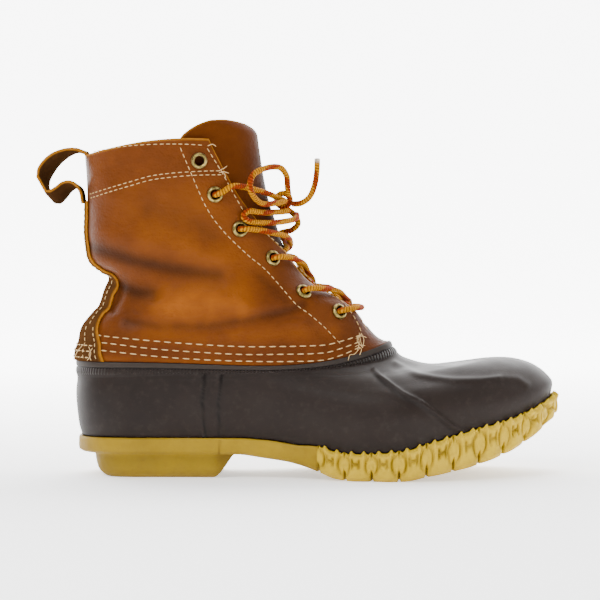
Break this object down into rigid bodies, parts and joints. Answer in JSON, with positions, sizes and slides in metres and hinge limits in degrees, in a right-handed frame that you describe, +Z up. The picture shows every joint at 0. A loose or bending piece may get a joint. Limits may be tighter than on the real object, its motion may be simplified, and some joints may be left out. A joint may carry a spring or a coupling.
{
  "type": "duck boot",
  "caption": "Lace-up duck boot with a moulded rubber bottom, a leather shaft, a standing tongue, a back pull loop and a lobed tread.",
  "frame": {"origin": "middle of the heel block's flat face on the floor", "axes": "+X towards the toe, +Y to the wearer's medial side, +Z up"},
  "size_m": [0.3257, 0.1075, 0.2192],
  "materials": {
    "tan_rubber": "satin",
    "brown_rubber": "satin",
    "tan_leather": "satin",
    "dark_leather": "satin",
    "insole_board": "matte",
    "aged_brass": "aged",
    "gold_lace": "matte"
  },
  "bodies": {
    "root": {"outsole": "tan_rubber", "heel": "tan_rubber", "insole": "insole_board", "rubber_shell": "brown_rubber", "leather_upper": "tan_leather", "tongue": "dark_leather", "backstay": "tan_leather", "pull_loop": "dark_leather", "eyelet_lateral_1": "aged_brass", "eyelet_medial_1": "aged_brass", "eyelet_lateral_2": "aged_brass", "eyelet_medial_2": "aged_brass", "eyelet_lateral_3": "aged_brass", "eyelet_medial_3": "aged_brass", "eyelet_lateral_4": "aged_brass", "eyelet_medial_4": "aged_brass", "eyelet_lateral_5": "aged_brass", "eyelet_medial_5": "aged_brass", "eyelet_lateral_6": "aged_brass", "eyelet_medial_6": "aged_brass", "lace_bar_low": "gold_lace", "lace_cross_3": "gold_lace", "lace_cross_4": "gold_lace", "lace_cross_5": "gold_lace", "lace_bar_top": "gold_lace", "lace_knot": "gold_lace", "lace_loop_a": "gold_lace", "lace_loop_b": "gold_lace", "lace_end_a": "gold_lace", "lace_end_b": "gold_lace"}
  },
  "joints": []
}
